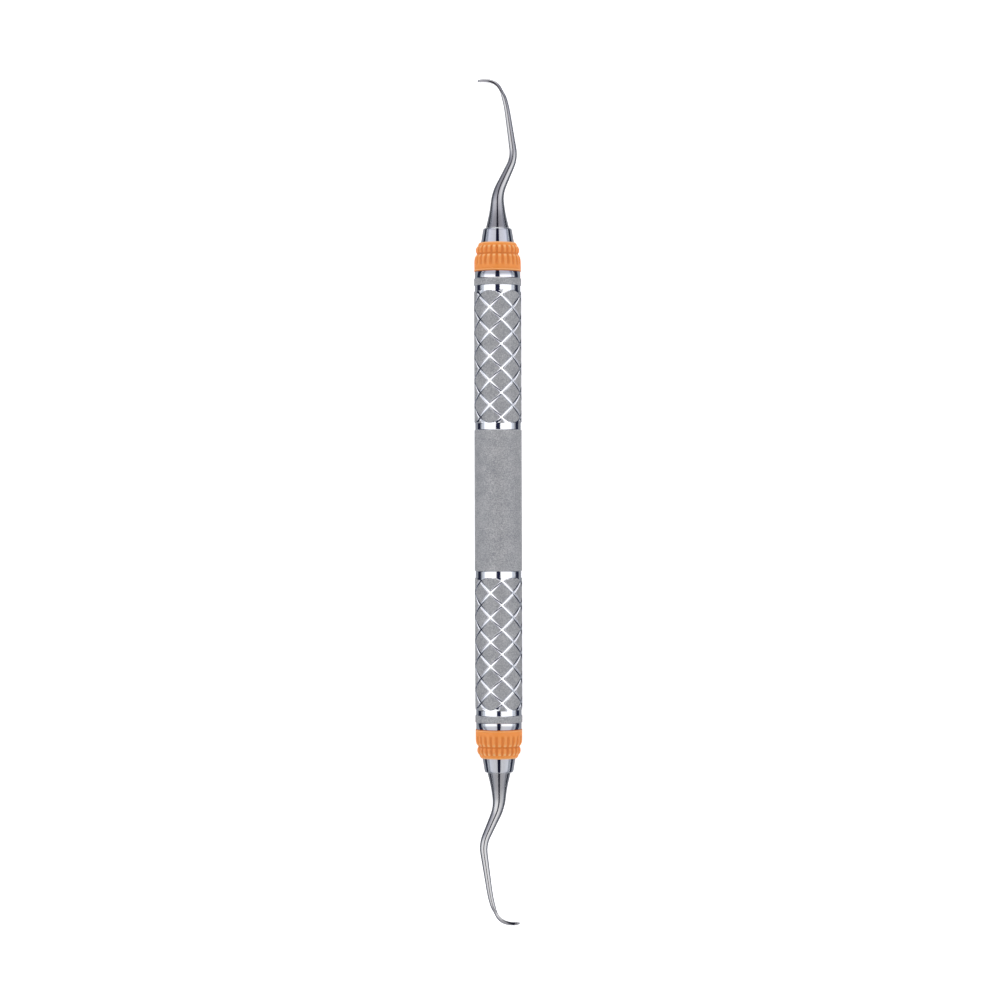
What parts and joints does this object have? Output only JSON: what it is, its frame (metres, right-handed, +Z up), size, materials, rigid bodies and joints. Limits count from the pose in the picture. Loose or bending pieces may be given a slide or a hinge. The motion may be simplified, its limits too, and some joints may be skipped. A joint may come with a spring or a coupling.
{
  "type": "hand scaler",
  "caption": "Double-ended dental hand scaler: knurled hollow steel handle, orange ribbed colour rings, and mirror-image bent working tips on cones that unscrew.",
  "frame": {"origin": "on the table under the middle of the handle, with the instrument lying on its handle", "axes": "+Y along the handle towards the upper working tip, whose blade dips towards the table; +Z up from the table; +X towards the upper shank's outer bend"},
  "size_m": [0.0094, 0.1706, 0.0095],
  "materials": {
    "satin_steel": "satin",
    "turned_steel": "turned",
    "orange_ring": "moulded, satin",
    "polished_cone": "mirror polished",
    "polished_tip": "polished",
    "seal_rubber": "matte"
  },
  "bodies": {
    "handle": {"handle_tube": "satin_steel", "upper_socket_bush": "turned_steel", "lower_socket_bush": "turned_steel", "upper_colour_ring": "orange_ring", "lower_colour_ring": "orange_ring"},
    "upper_seal": {"upper_seal": "seal_rubber"},
    "upper_end": {"upper_cone": "polished_cone", "upper_tip": "polished_tip"},
    "lower_seal": {"lower_seal": "seal_rubber"},
    "lower_end": {"lower_cone": "polished_cone", "lower_tip": "polished_tip"}
  },
  "joints": [
    {"name": "upper_screw_advance", "type": "slide", "parent": "handle", "child": "upper_seal", "axis": [0, 1, 0], "range_m": [0, 0.006]},
    {"name": "upper_screw_turn", "type": "hinge", "parent": "upper_seal", "child": "upper_end", "pos_m": [0, 0.05, 0.00475], "axis": [0, 1, 0], "range_deg": [0, 4320.5]},
    {"name": "lower_screw_advance", "type": "slide", "parent": "handle", "child": "lower_seal", "axis": [0, -1, 0], "range_m": [0, 0.006]},
    {"name": "lower_screw_turn", "type": "hinge", "parent": "lower_seal", "child": "lower_end", "pos_m": [0, -0.05, 0.00475], "axis": [0, -1, 0], "range_deg": [0, 4320.5]}
  ],
  "couplings": [
    {"joint": "upper_screw_turn", "follows": "upper_screw_advance", "rad_per_m": 12566},
    {"joint": "lower_screw_turn", "follows": "lower_screw_advance", "rad_per_m": 12566}
  ]
}
